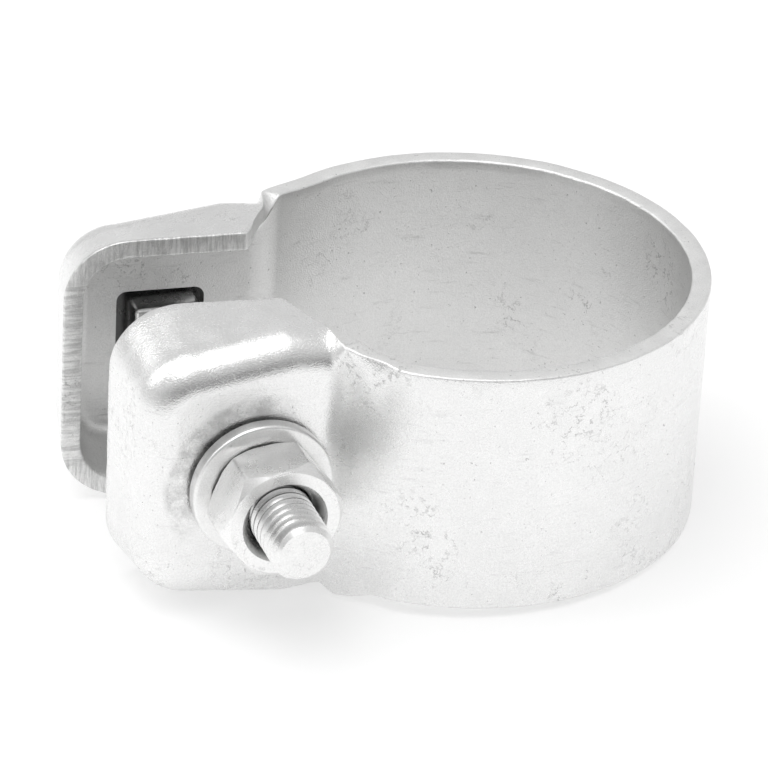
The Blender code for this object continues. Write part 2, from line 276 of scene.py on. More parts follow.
class LugPlan:
    """The outer surface of one half of the band in plan: ring, neck and flat lug face."""

    def __init__(self, band, toe):
        self.band = band
        self.outer = band.bore_radius + band.sheet
        self.along = Vector((-cos(toe), sin(toe)))
        self.out = Vector((sin(toe), cos(toe)))
        self.root = Vector((band.root_x, band.face_w))
        offset = self.root + self.out * band.neck_radius
        reach = self.outer + band.neck_radius
        half = offset.dot(self.along)
        self.run_out = -half + sqrt(half * half - offset.dot(offset) + reach * reach)
        self.centre = offset + self.along * self.run_out
        on_ring = self.centre * (self.outer / reach)
        self.ring_angle = atan2(on_ring.y, -on_ring.x)
        self.start_angle = self.ring_angle + band.neck_run
        inward = (on_ring - self.centre) / band.neck_radius
        self.neck_from = atan2(inward.y, inward.x)
        self.neck_to = atan2(-self.out.y, -self.out.x)

    def ring_point(self, turn):
        """A point on the ring's outside and the way in from it, at an angle from the lug side."""
        way = Vector((-cos(turn), sin(turn)))
        return way * self.outer, -way

    def neck_point(self, t):
        """A point along the hollow bend between ring and lug."""
        turn = self.neck_from + (self.neck_to - self.neck_from) * t
        way = Vector((cos(turn), sin(turn)))
        return self.centre + way * self.band.neck_radius, way

    def face_point(self, distance):
        """A point on the flat face, a distance beyond the root."""
        return self.root + self.along * distance, -self.out

    def run_stations(self):
        """Outline points with their ways in, along the ring where its edges start to rise."""
        turn = self.ring_angle - self.start_angle
        steps = self.band.run_steps
        return [self.ring_point(self.start_angle + turn * i / steps) for i in range(steps)]

    def neck_stations(self):
        """Outline points with their ways in, from the hollow bend to the root of the lug."""
        steps = self.band.neck_steps
        roots = self.band.root_steps
        result = [self.neck_point(i / steps) for i in range(steps)]
        for i in range(roots + 1):
            result.append(self.face_point(self.run_out * (1.0 - i / roots)))
        return result

    def reach(self, point, way):
        """How far in the sheet reaches: to the bore, or to the flange's full depth."""
        towards = point.dot(way)
        left = towards * towards - point.dot(point) + self.band.bore_radius * self.band.bore_radius
        if left <= 0.0:
            return self.band.flange_depth
        return smooth_min(-towards - sqrt(left), self.band.flange_depth, self.band.flange_nose)


def edge_heights(band, stations):
    """Heights of the sheet's edge, easing from the ring's edge up to the lug's flange."""
    travelled = [0.0]
    for before, after in zip(stations, stations[1:]):
        travelled.append(travelled[-1] + (after[0] - before[0]).length)
    return [band.width / 2.0 + band.rise * smooth_step(d / travelled[-1]) for d in travelled]


class Section:
    """One half section of the sheet, from mid-height to its sheared edge.

    Each step is a point on the outside and the way in through the sheet there. The last step also has
    the way along the sheet out of its edge.
    """

    def __init__(self):
        self.steps = []
        self.outwards = None

    def add(self, point, inward):
        """Adds a step."""
        self.steps.append((Vector(point), Vector(inward)))

    def outside(self):
        """Points on the outside."""
        return [point for point, inward in self.steps]

    def inside(self, sheet):
        """Points on the inside."""
        return [point + inward * sheet for point, inward in self.steps]

    def cut_back(self, distance):
        """Moves the edge back, and with it every step that would stand past it."""
        edge = self.steps[-1][0] - self.outwards * distance
        self.steps[-1] = (edge, self.steps[-1][1])
        for i, (point, inward) in enumerate(self.steps):
            over = (point - edge).dot(self.outwards)
            if over > 0.0:
                self.steps[i] = (point - self.outwards * over, inward)

    def edge(self, sheet, rounding, torn, steps=3):
        """Points across the sheared edge, rounded at its outer corner and torn at its inner one."""
        point, inward = self.steps[-1]
        lip = self.outwards * rounding
        points = []
        for turn in quarter_turns(steps):
            points.append(point + inward * rounding * (1.0 - cos(turn)) + lip * sin(turn))
        for turn in quarter_turns(steps):
            points.append(point + inward * (sheet - torn * (1.0 - sin(turn))) + lip * cos(turn))
        return points


def upright(plan_vector, side):
    """A plan vector as a vector in space, on the front or the rear half."""
    return Vector((plan_vector.x, side * plan_vector.y, 0.0))


def straight_levels(band, top):
    """Heights of the points up a straight stretch, closer together in the zone below its top."""
    steps = band.face_steps
    low = top - band.lean_zone
    levels = [low * i / steps for i in range(steps)]
    return levels + [low + band.lean_zone * i / steps for i in range(steps)]


def plain_section(band, point, way, height, lean):
    """A section of the ring, straight, then curved in as far as its edge leans."""
    section = Section()
    for level in straight_levels(band, height) + [height]:
        rise = max(level - height + band.lean_radius * sin(lean), 0.0)
        turn = asin(rise / band.lean_radius)
        sink = band.lean_radius * (1.0 - cos(turn))
        section.add(point + way * sink + UP * level, way * cos(turn) - UP * sin(turn))
    section.outwards = way * sin(lean) + UP * cos(lean)
    return section


def bend_shares(band):
    """Where the points lie along bend and flange, as shares of their length at the root of the lug."""
    arc = band.bend_radius * QUARTER
    flange = band.flange_depth - band.bend_radius
    lengths = [arc * i / band.bend_steps for i in range(band.bend_steps)]
    lengths += [arc + flange * i / band.flange_steps for i in range(band.flange_steps + 1)]
    return [distance / (arc + flange) for distance in lengths]


def bent_section(band, reach, point, way, height):
    """A section of the neck: straight up from mid-height, then bent in as far as it reaches."""
    radius = band.bend_radius
    bend = QUARTER
    if reach < radius:
        left = (radius - reach) / (radius - band.sheet)
        bend = acos(left) if left < 1.0 - ROUNDING else 0.0
    straight = height - radius * sin(bend)
    arc = radius * bend
    total = arc + max(reach - radius, 0.0)
    section = Section()
    for level in straight_levels(band, straight):
        section.add(point + UP * level, way)
    for share in bend_shares(band):
        distance = total * share
        turn = min(distance, arc) / radius
        inner = radius * (1.0 - cos(turn)) + max(distance - arc, 0.0)
        place = point + way * inner + UP * (straight + radius * sin(turn))
        section.add(place, way * cos(turn) - UP * sin(turn))
    section.outwards = way * sin(turn) + UP * cos(turn)
    return section


def tray_paths(band, reach):
    """The wall of the tray from the root, round its corner, to the middle of its end.

    Each step has the way out across the face, the wall at the end of its bend and the wall's rim,
    as (distance along the face, height).
    """
    top = band.width / 2.0 + band.rise
    straight = reach - band.corner_radius
    draft = tan(band.taper) * straight
    steps = []
    for i in range(band.straight_steps + 1):
        run = straight * i / band.straight_steps
        steps.append((Vector((0.0, 1.0)), Vector((run, top - tan(band.taper) * run)), Vector((run, top))))
    bend_end = reach - END_TAPER * draft
    bend_corner = band.corner_radius - END_TAPER * draft
    bend_centre = Vector((bend_end - bend_corner, top - draft - bend_corner))
    rim_centre = Vector((straight, top - band.corner_radius))
    for turn in quarter_turns(band.corner_steps, 1):
        way = Vector((sin(turn), cos(turn)))
        steps.append((way, bend_centre + way * bend_corner, rim_centre + way * band.corner_radius))
    for i in range(1, band.straight_steps + 1):
        left = 1.0 - i / band.straight_steps
        wall = Vector((bend_end, bend_centre.y * left))
        steps.append((Vector((1.0, 0.0)), wall, Vector((reach, rim_centre.y * left))))
    return steps


def tray_sections(plan, side, reach, flare):
    """Sections across the tray's bent wall, from the flat face to the rim."""
    band = plan.band
    along = upright(plan.along, side)
    out = upright(plan.out, side)
    root = upright(plan.root, side)
    sections = []

    def place(spot, depth):
        return root + along * spot.x + UP * spot.y - out * depth

    for way, wall, rim in tray_paths(band, reach):
        section = Section()
        across = along * way.x + UP * way.y
        flange = band.flange_depth + flare * min(rim.x, reach - band.corner_radius) - band.bend_radius
        for turn in quarter_turns(band.bend_steps):
            spot = wall - way * (band.bend_radius * (1.0 - sin(turn)))
            depth = band.bend_radius * (1.0 - cos(turn))
            section.add(place(spot, depth), -out * cos(turn) - across * sin(turn))
        for i in range(1, band.flange_steps + 1):
            share = i / band.flange_steps
            section.add(place(wall.lerp(rim, share), band.bend_radius + flange * share), -across)
        section.outwards = (section.steps[-1][0] - section.steps[-2][0]).normalized()
        sections.append(section)
    return sections


def add_grid(mesh, rows, material=0):
    """Skins rows of points with quads."""
    made = [[mesh.verts.new(point) for point in row] for row in rows]
    for before, after in zip(made, made[1:]):
        for i in range(len(before) - 1):
            face = mesh.faces.new((before[i], before[i + 1], after[i + 1], after[i]))
            face.material_index = material


def add_face(mesh, points, material):
    """One flat face."""
    face = mesh.faces.new([mesh.verts.new(point) for point in points])
    face.material_index = material


def torn_back(band, section):
    """How far the inner corner of a sheared edge is torn back at a section."""
    wave = noise_at.noise(section.steps[-1][0] / TEAR_SIZE)
    return band.edge_round + band.burr * max(wave, 0.0)


def add_skins(mesh, band, sections):
    """Skins a run of sections on the outside, across the sheared edge and on the inside."""
    edges = [section.edge(band.sheet, band.edge_round, torn_back(band, section)) for section in sections]
    add_grid(mesh, [section.outside() for section in sections], OUTSIDE)
    add_grid(mesh, edges, SHEARED)
    add_grid(mesh, [section.inside(band.sheet) for section in sections], INSIDE)


def trim_edges(band, sections, wander):
    """Cuts the edges back by the rounding, and by the unevenness of a sheared edge.

    The wander starts as the ring's and eases into the given one.
    """
    for i, section in enumerate(sections):
        roughness = band.edge_wander + (wander - band.edge_wander) * smooth_step(i / EASE_SECTIONS)
        place = section.steps[-1][0]
        wave = noise_at.noise(place / WAVE_SIZE) + RIPPLE_SHARE * noise_at.noise(place / RIPPLE_SIZE)
        section.cut_back(band.edge_round + roughness * (0.5 + 0.5 * wave))


def add_half(mesh, band, side, toe, reach, flare, most_lean):
    """The upper half of the band from the ring's far side to one lug's end."""
    plan = LugPlan(band, toe)
    turn = plan.start_angle - pi
    stations = [plan.ring_point(pi + turn * i / band.ring_steps) for i in range(band.ring_steps)]
    run = plan.run_stations()
    neck = plan.neck_stations()
    heights = edge_heights(band, run + neck)
    spots = [(*station, band.width / 2.0, 0.0) for station in stations]
    for i, station in enumerate(run + neck[:1]):
        spots.append((*station, heights[i], most_lean * sin(pi * i / len(run)) ** 2))
    plain = [
        plain_section(band, upright(point, side), upright(way, side), height, lean)
        for point, way, height, lean in spots
    ]
    bent = [
        bent_section(band, plan.reach(point, way), upright(point, side), upright(way, side), height)
        for (point, way), height in zip(neck, heights[len(run):])
    ]
    tray = tray_sections(plan, side, reach, flare)
    for sections, wander in ((plain, band.edge_wander), (bent, band.edge_wander), (tray, band.rim_wander)):
        trim_edges(band, sections, wander)
        add_skins(mesh, band, sections)
    root = bent[-1].steps[:2 * band.face_steps]
    flat = root + [section.steps[0] for section in tray]
    add_face(mesh, [point for point, inward in flat], OUTSIDE)
    add_face(mesh, [point + inward * band.sheet for point, inward in flat], INSIDE)


def weld(mesh):
    """Joins the points that meet and turns the faces one way."""
    bmesh.ops.remove_doubles(mesh, verts=mesh.verts[:], dist=MERGE)
    bmesh.ops.recalc_face_normals(mesh, faces=mesh.faces[:])


def mesh_data(name, mesh):
    """A finished mesh as data for an object."""
    data = bpy.data.meshes.new(name)
    mesh.to_mesh(data)
    mesh.free()
    return data


def band_half(band):
    """The upper half of the band as a mesh facing outwards, open at mid-height."""
    mesh = bmesh.new()
    add_half(mesh, band, FRONT, band.front_toe, band.front_length, band.front_flare, band.lean)
    add_half(mesh, band, REAR, band.rear_toe, band.rear_length, band.rear_flare, 0.0)
    weld(mesh)
    far = max(mesh.faces, key=lambda face: face.calc_center_median().x)
    if far.normal.x < 0.0:
        bmesh.ops.reverse_faces(mesh, faces=mesh.faces[:])
    return mesh_data("band_half", mesh)


def new_object(name, data, *materials):
    """An object linked to the scene, with its materials."""
    item = bpy.data.objects.new(name, data)
    bpy.context.scene.collection.objects.link(item)
    for material in materials:
        data.materials.append(material)
    return item


def boolean(item, tool, operation):
    """Cuts, joins or intersects an object with a tool."""
    modifier = item.modifiers.new(tool.name, "BOOLEAN")
    modifier.operation = operation
    modifier.solver = "EXACT"
    modifier.object = tool
    modifier.material_mode = "TRANSFER"


def bevel(item, width, segments):
    """Rounds an object's edges."""
    modifier = item.modifiers.new("edges", "BEVEL")
    modifier.width = width
    modifier.segments = segments


def rounded_box(context, name, sides, rounding, segments):
    """A box with rounded edges."""
    bpy.ops.mesh.primitive_cube_add(size=1.0)
    box = context.object
    box.name = name
    box.data.transform(Matrix.Diagonal((*sides, 1.0)))
    bevel(box, rounding, segments)
    return box


def settle(item, tools=(), sharp=radians(35.0)):
    """Applies an object's modifiers, smooths all but its sharp edges and removes its tools."""
    bpy.context.view_layer.update()
    graph = bpy.context.evaluated_depsgraph_get()
    data = bpy.data.meshes.new_from_object(item.evaluated_get(graph), depsgraph=graph)
    item.modifiers.clear()
    old = item.data
    item.data = data
    bpy.data.meshes.remove(old)
    data.name = item.name
    data.transform(item.matrix_world)
    item.matrix_world = Matrix.Identity(4)
    for tool in tools:
        bpy.data.objects.remove(tool, do_unlink=True)
    data.shade_smooth()
    data.set_sharp_from_angle(angle=sharp)


def bolt_frame(bolt, distance):
    """Where a piece stands on the bolt's line, its own height pointing towards the bolt's tip."""
    line = Matrix.Translation((bolt.axis_x, 0.0, bolt.axis_z)) @ Matrix.Rotation(bolt.lean, 4, "Z")
    return line @ Matrix.Translation((0.0, -distance, 0.0)) @ ON_SIDE


def lug_frame(bolt, y, z, turn):
    """Where the bolt's line crosses a lug, turned with that lug."""
    place = Matrix.Translation((bolt.axis_x - tan(bolt.lean) * y, y, z))
    return place @ Matrix.Rotation(turn, 4, "Z")


def mirrored(rows):
    """Rows of a turned body and the same rows below its middle."""
    return rows + [(radius, -height) for radius, height in reversed(rows)]


def turned(name, rows, steps, material):
    """A turned body from rows of (radius, height), each a pair or a function of the turn."""
    mesh = bmesh.new()
    grid = []
    for row in rows:
        ring = []
        for j in range(steps + 1):
            turn = 2.0 * pi * j / steps
            radius, height = row(turn) if callable(row) else row
            ring.append((radius * cos(turn), radius * sin(turn), height))
        grid.append(ring)
    add_grid(mesh, grid)
    weld(mesh)
    return new_object(name, mesh_data(name, mesh), material)


def rounded(start, corner, end, size, steps=4):
    """Points that round a corner of a profile."""
    corner = Vector(corner)
    first = corner + (Vector(start) - corner).normalized() * size
    last = corner + (Vector(end) - corner).normalized() * size
    points = []
    for i in range(steps + 1):
        t = i / steps
        points.append(tuple(first.lerp(corner, t).lerp(corner.lerp(last, t), t)))
    return points


def thread_share(phase):
    """Height of the thread, from 0 at its root to 1 at its crest, over one turn."""
    rise = (0.5 - abs(phase - 0.5) - THREAD_FLAT) / (0.5 - 2.0 * THREAD_FLAT)
    return smooth_step(rise) * THREAD_ROUND + (1.0 - THREAD_ROUND) * min(max(rise, 0.0), 1.0)


def thread_rows(bolt, per_turn=12):
    """Rows of the bolt's thread, each following the helix, from the tip down to the plain shank."""
    turns = int(bolt.thread_length / bolt.pitch) + THREAD_SPARE
    end = bolt.tip - bolt.thread_length
    fade_length = THREAD_FADE * bolt.pitch

    def row(k):
        share = thread_share((k / per_turn) % 1.0)
        full = bolt.root_radius + (bolt.crest_radius - bolt.root_radius) * share

        def place(turn):
            height = bolt.tip + bolt.pitch * (1.0 - k / per_turn + turn / (2.0 * pi))
            height = min(max(height, end), bolt.tip)
            radius = min(full, bolt.tip_radius + (bolt.tip - height) * TIP_SLOPE)
            fade = smooth_step((height - end) / fade_length)
            return bolt.shank_radius + (radius - bolt.shank_radius) * fade, height

        return place

    return [row(k) for k in range(turns * per_turn)]


def new_group(name, inputs, outputs):
    """A node group with its sockets, given as names and kinds."""
    group = bpy.data.node_groups.new(name, "ShaderNodeTree")
    for in_out, sockets in (("INPUT", inputs), ("OUTPUT", outputs)):
        for socket, kind in sockets.items():
            group.interface.new_socket(name=socket, in_out=in_out, socket_type=kind)
    return group


def add_node(tree, kind, **settings):
    """Adds a node and sets its own settings."""
    node = tree.nodes.new(kind)
    for key, value in settings.items():
        setattr(node, key, value)
    return node


def object_place(tree):
    """The place of a point on its piece."""
    return add_node(tree, "ShaderNodeTexCoord").outputs["Object"]


def split(tree, vector):
    """A vector's three parts."""
    node = add_node(tree, "ShaderNodeSeparateXYZ")
    tree.links.new(vector, node.inputs["Vector"])
    return node.outputs


def noise(tree, vector, scale, detail, roughness):
    """A noise on a vector."""
    node = add_node(tree, "ShaderNodeTexNoise")
    tree.links.new(vector, node.inputs["Vector"])
    for name, number in (("Scale", scale), ("Detail", detail), ("Roughness", roughness)):
        node.inputs[name].default_value = number
    return node.outputs["Fac"]


def ramp(tree, value, start, end, low=0.0, high=1.0):
    """A ramp on a value: low where the value is at the start, high where it is at the end."""
    node = add_node(tree, "ShaderNodeMapRange")
    tree.links.new(value, node.inputs["Value"])
    for name, number in (("From Min", start), ("From Max", end), ("To Min", low), ("To Max", high)):
        node.inputs[name].default_value = number
    return node.outputs["Result"]


def blotches(tree, vector, scale, detail, roughness, start, end):
    """A mask made of a noise, 0 below a start and 1 above an end."""
    return ramp(tree, noise(tree, vector, scale, detail, roughness), start, end)


def dimmed(tree, mask, share):
    """1 where a mask is 0, down to a share where it is 1."""
    return ramp(tree, mask, 0.0, 1.0, low=1.0, high=share)


def calculate(tree, operation, a, b=0.0):
    """A calculation on one or two values, each a socket or a number."""
    node = add_node(tree, "ShaderNodeMath", operation=operation)
    for socket, value in zip(node.inputs, (a, b)):
        if isinstance(value, (int, float)):
            socket.default_value = value
        else:
            tree.links.new(value, socket)
    return node.outputs["Value"]


def product(tree, value, *others):
    """Values multiplied with one another."""
    for other in others:
        value = calculate(tree, "MULTIPLY", value, other)
    return value


def added(tree, value, *parts):
    """A value with others added to it, each given with its weight."""
    for part, weight in parts:
        value = calculate(tree, "ADD", value, product(tree, part, weight))
    return value


def vector_math(tree, operation, vector, constant=(0.0, 0.0, 0.0)):
    """The outputs of a calculation on a vector and a constant one."""
    node = add_node(tree, "ShaderNodeVectorMath", operation=operation)
    tree.links.new(vector, node.inputs[0])
    node.inputs[1].default_value = constant
    return node.outputs


def stretched(tree, vector, scale):
    """A vector scaled along its axes."""
    return vector_math(tree, "MULTIPLY", vector, scale)["Vector"]


def scaled(tree, tone, value):
    """A colour multiplied with a value."""
    node = add_node(tree, "ShaderNodeVectorMath", operation="SCALE")
    tree.links.new(tone, node.inputs[0])
    tree.links.new(value, node.inputs["Scale"])
    return node.outputs["Vector"]


def plating_group():
    """Makes the look of zinc plating: a soft mottle, dark specks, scuffs and a fine grain."""
    inputs = {"Colour": COLOUR, "Roughness": FLOAT, "Specks": FLOAT, "Scuffs": FLOAT}
    group = new_group("Zinc plating", inputs, {"Colour": COLOUR, "Roughness": FLOAT, "Height": FLOAT})
    entry = add_node(group, "NodeGroupInput").outputs
    leave = add_node(group, "NodeGroupOutput").inputs
    place = object_place(group)

    mottle = noise(group, place, scale=420.0, detail=4.0, roughness=0.6)
    cloud = noise(group, place, scale=70.0, detail=3.0, roughness=0.5)
    grain = noise(group, place, scale=5200.0, detail=2.0, roughness=0.6)
    patch = blotches(group, place, scale=85.0, detail=2.0, roughness=0.5, start=0.53, end=0.68)
    broken = blotches(group, place, scale=1100.0, detail=2.0, roughness=0.6, start=0.44, end=0.56)

    ridge = noise(group, place, scale=420.0, detail=5.0, roughness=0.62)
    ridge = calculate(group, "ABSOLUTE", calculate(group, "SUBTRACT", ridge, 0.5))
    vein = product(group, ramp(group, ridge, start=0.022, end=0.006), broken, patch)
    dot = blotches(group, place, scale=1900.0, detail=2.0, roughness=0.7, start=0.68, end=0.76)
    speck = product(group, calculate(group, "MAXIMUM", dot, vein), entry["Specks"])
    drawn = stretched(group, place, (0.5, 0.5, 4.0))
    streak = blotches(group, drawn, scale=420.0, detail=3.0, roughness=0.65, start=0.60, end=0.72)
    scuff = product(group, streak, entry["Scuffs"])

    shade = product(
        group,
        ramp(group, mottle, *NOISE_SPREAD, low=0.965, high=1.02),
        ramp(group, cloud, *NOISE_SPREAD, low=0.975, high=1.015),
        ramp(group, grain, *NOISE_SPREAD, low=0.93, high=1.05),
        dimmed(group, speck, share=0.60),
        dimmed(group, scuff, share=0.90),
    )
    group.links.new(scaled(group, entry["Colour"], shade), leave["Colour"])

    uneven = ramp(group, mottle, *NOISE_SPREAD, low=-0.04, high=0.05)
    rough = calculate(group, "ADD", entry["Roughness"], uneven)
    group.links.new(added(group, rough, (scuff, 0.12), (speck, 0.2)), leave["Roughness"])

    height = added(group, product(group, grain, 0.9), (mottle, 0.25), (speck, -0.5), (scuff, -0.2))
    group.links.new(height, leave["Height"])
    return group


def bolt_line_group(bolt):
    """Makes the measure of distances along the bolt's line and away from it, in millimetres."""
    group = new_group("Bolt line", {}, {"Along": FLOAT, "Away": FLOAT})
    leave = add_node(group, "NodeGroupOutput").inputs
    start = (bolt.axis_x, 0.0, bolt.axis_z)
    line = (sin(bolt.lean), -cos(bolt.lean), 0.0)
    offset = vector_math(group, "SUBTRACT", object_place(group), start)["Vector"]
    along = vector_math(group, "DOT_PRODUCT", offset, line)["Value"]
    across = vector_math(group, "CROSS_PRODUCT", offset, line)["Vector"]
    away = vector_math(group, "LENGTH", across)["Value"]
    for name, distance in (("Along", along), ("Away", away)):
        group.links.new(product(group, distance, 1.0 / MM), leave[name])
    return group


def bolt_line(tree, bolt):
    """A material's own sockets for the distances along the bolt's line and away from it."""
    group = bpy.data.node_groups.get("Bolt line") or bolt_line_group(bolt)
    return add_node(tree, "ShaderNodeGroup", node_tree=group).outputs


def shaded(material, mask, share):
    """Darkens a plated metal where a mask is 1, down to a share of its colour."""
    tree = material.node_tree
    socket = tree.nodes["Principled BSDF"].inputs["Base Color"]
    tone = socket.links[0].from_socket
    tree.links.new(scaled(tree, tone, dimmed(tree, mask, share)), socket)


def shear_marks(material):
    """Marks the lugs' sheared rims with fine dark lines across the sheet."""
    tree = material.node_tree
    place = object_place(tree)
    parts = split(tree, place)
    high = ramp(tree, calculate(tree, "ABSOLUTE", parts["Z"]), start=11.5 * MM, end=13.5 * MM)
    low = calculate(tree, "SUBTRACT", 1.0, high)
    lines = []
    for stretch, zone in ((UPRIGHT_LINES, high), (LEVEL_LINES, low)):
        line = noise(tree, stretched(tree, place, stretch), scale=480.0, detail=4.0, roughness=0.7)
        lines.append(product(tree, line, zone))
    dark = ramp(tree, calculate(tree, "ADD", *lines), start=0.60, end=0.40)
    lugs = ramp(tree, parts["X"], start=-25.5 * MM, end=-27.5 * MM)
    shaded(material, product(tree, dark, lugs), share=0.70)


def painted_crevice_shade(material, bolt):
    """Paints shade on the bolt's neck beside its head, where the head shades it."""
    tree = material.node_tree
    along = bolt_line(tree, bolt)["Along"]
    seat = bolt.head_seat / MM
    near = ramp(tree, along, start=seat + 1.7, end=seat + 0.9)
    past = ramp(tree, along, start=seat - 0.25, end=seat - 0.05)
    shaded(material, product(tree, near, past), share=0.14)


def painted_bore_shade(material, bolt):
    """Paints shade into the nut's bore."""
    tree = material.node_tree
    shaded(material, ramp(tree, bolt_line(tree, bolt)["Away"], start=5.1, end=4.5), share=0.30)


def darker_ring_at_upper_left(material, bolt):
    """Darkens a patchy ring on the upper left of the front lug's face, round the washer."""
    tree = material.node_tree
    line = bolt_line(tree, bolt)
    face = ramp(tree, line["Along"], start=17.0, end=19.0)
    ring = ramp(tree, line["Away"], start=12.2, end=11.4)
    place = object_place(tree)
    side = vector_math(tree, "DOT_PRODUCT", place, (-0.8 / MM, 0.0, 0.6 / MM))["Value"]
    left = ramp(tree, side, start=27.0, end=31.0)
    patchy = blotches(tree, place, scale=520.0, detail=4.0, roughness=0.7, start=0.36, end=0.60)
    shaded(material, product(tree, ring, face, left, patchy), share=0.72)


def plated(name, tone, roughness, relief, specks=1.0, scuffs=1.0):
    """A zinc plated metal with its own tone and wear, and bumps as deep as its relief in millimetres."""
    material = bpy.data.materials.new(name)
    material.use_nodes = True
    tree = material.node_tree
    shader = tree.nodes["Principled BSDF"]
    shader.inputs["Metallic"].default_value = 1.0
    group = bpy.data.node_groups.get("Zinc plating") or plating_group()
    plating = add_node(tree, "ShaderNodeGroup", node_tree=group)
    for socket, value in zip(plating.inputs, ((*tone, 1.0), roughness, specks, scuffs)):
        socket.default_value = value
    bump = add_node(tree, "ShaderNodeBump")
    bump.inputs["Strength"].default_value = BUMP_STRENGTH
    bump.inputs["Distance"].default_value = relief * MM
    tree.links.new(plating.outputs["Height"], bump.inputs["Height"])
    tree.links.new(plating.outputs["Colour"], shader.inputs["Base Color"])
    tree.links.new(plating.outputs["Roughness"], shader.inputs["Roughness"])
    tree.links.new(bump.outputs["Normal"], shader.inputs["Normal"])
    return material


class CLAMP_OT_band(bpy.types.Operator):
    """Makes the pressed band with its lugs, holes and sheared edges."""

    bl_idname = "clamp.band"
    bl_label = "Pressed band"

    def execute(self, context):
        band = context.scene.clamp_band
        bolt = context.scene.clamp_fasteners
        tones = context.scene.clamp_finish
        outside = plated("zinc_outside", tones.outside, roughness=0.25, relief=0.08, specks=0.8, scuffs=0.6)
        darker_ring_at_upper_left(outside, bolt)
        sheared = plated("zinc_sheared_edge", tones.sheared, roughness=0.45, relief=0.12)
        shear_marks(sheared)
        # The inside's darker tone is painted shade inside the ring
        inside = plated("zinc_inside_painted_shade", tones.inside, roughness=0.36, relief=0.09)
        # The holes' walls are painted dark as painted shade inside the holes
        hole_shade = plated("painted_shade_in_holes", tones.hole_shade, roughness=0.6, relief=0.12)
        piece = new_object("pressed_band", band_half(band), outside, sheared, inside, hole_shade)

        mirror = piece.modifiers.new("other half", "MIRROR")
        mirror.use_axis = (False, False, True)
        mirror.merge_threshold = MERGE

        sides = (band.square_hole, band.square_hole, HOLE_DEPTH)
        square = rounded_box(context, "square_hole", sides, band.square_corner, segments=6)
        square.data.transform(ON_SIDE)
        shift = Matrix.Translation((band.square_hole_x, 0.0, 0.0))
        square.matrix_world = shift @ lug_frame(bolt, REAR_FACE, band.square_hole_z, -band.rear_toe)
        bpy.ops.mesh.primitive_cylinder_add(
            vertices=bolt.round_steps, radius=band.round_hole, depth=HOLE_DEPTH
        )
        hole = context.object
        hole.name = "round_hole"
        hole.matrix_world = lug_frame(bolt, FRONT_FACE, bolt.axis_z, band.front_toe) @ ON_SIDE
        for tool in (square, hole):
            tool.data.materials.append(hole_shade)
            boolean(piece, tool, "DIFFERENCE")
        settle(piece, (square, hole))
        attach(piece, "band")
        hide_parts("clamp_band")
        return {"FINISHED"}


class CLAMP_OT_bolt(bpy.types.Operator):
    """Makes the carriage bolt with its domed head, square neck and rolled thread."""

    bl_idname = "clamp.bolt"
    bl_label = "Carriage bolt"

    def execute(self, context):
        bolt = context.scene.clamp_fasteners
        tone = context.scene.clamp_finish.bolt
        metal = plated("zinc_bolt", tone, roughness=0.28, relief=0.02, specks=0.4, scuffs=0.4)
        # Painted shade on the neck under the bolt's head
        painted_crevice_shade(metal, bolt)
        seat = bolt.head_seat
        rim = bolt.head_radius
        edge = seat - bolt.head_edge
        dome = bolt.head_height - bolt.head_edge
        rows = [(0.0, bolt.tip)] + thread_rows(bolt)
        rows += [(bolt.shank_radius, seat), (rim - HEAD_ROUND, seat)]
        rows += rounded((0.0, seat), (rim, seat), (rim, edge), HEAD_ROUND)
        rows.append((rim, edge))
        for turn in quarter_turns(DOME_STEPS, 1)[:-1]:
            rows.append((rim * cos(turn), edge - dome * sin(turn)))
        rows.append((0.0, edge - dome))
        piece = turned("rolled_bolt", rows, bolt.round_steps, metal)
        piece.matrix_world = bolt_frame(bolt, 0.0)

        sides = (bolt.neck_side, bolt.neck_side, bolt.neck_length + NECK_OVERLAP)
        neck = rounded_box(context, "square_neck", sides, NECK_ROUND, segments=4)
        neck.matrix_world = bolt_frame(bolt, seat + (bolt.neck_length - NECK_OVERLAP) / 2.0)
        neck.data.materials.append(metal)
        boolean(piece, neck, "UNION")
        settle(piece, (neck,))
        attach(piece, "bolt")
        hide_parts("carriage_bolt")
        return {"FINISHED"}


class CLAMP_OT_washer(bpy.types.Operator):
    """Makes the punched washer with its rolled upper edge."""

    bl_idname = "clamp.washer"
    bl_label = "Plain washer"

    def execute(self, context):
        bolt = context.scene.clamp_fasteners
        tone = context.scene.clamp_finish.washer
        metal = plated("zinc_washer", tone, roughness=0.32, relief=0.06, specks=0.5, scuffs=0.6)
        top = bolt.washer_thick
        rim = bolt.washer_radius
        hole = bolt.washer_hole
        corners = [(hole, top), (rim, top), (rim, 0.0), (hole, 0.0)] * 2
        rows = []
        for i, (size, steps) in enumerate(WASHER_ROUNDS):
            rows += rounded(*corners[i:i + 3], size, steps)
        rows.append(rows[0])
        piece = turned("punched_washer", rows, bolt.round_steps, metal)
        play = Matrix.Translation((bolt.washer_x, 0.0, bolt.washer_z))
        piece.matrix_world = play @ bolt_frame(bolt, bolt.washer_seat)
        settle(piece)
        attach(piece, "washer")
        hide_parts("plain_washer")
        return {"FINISHED"}


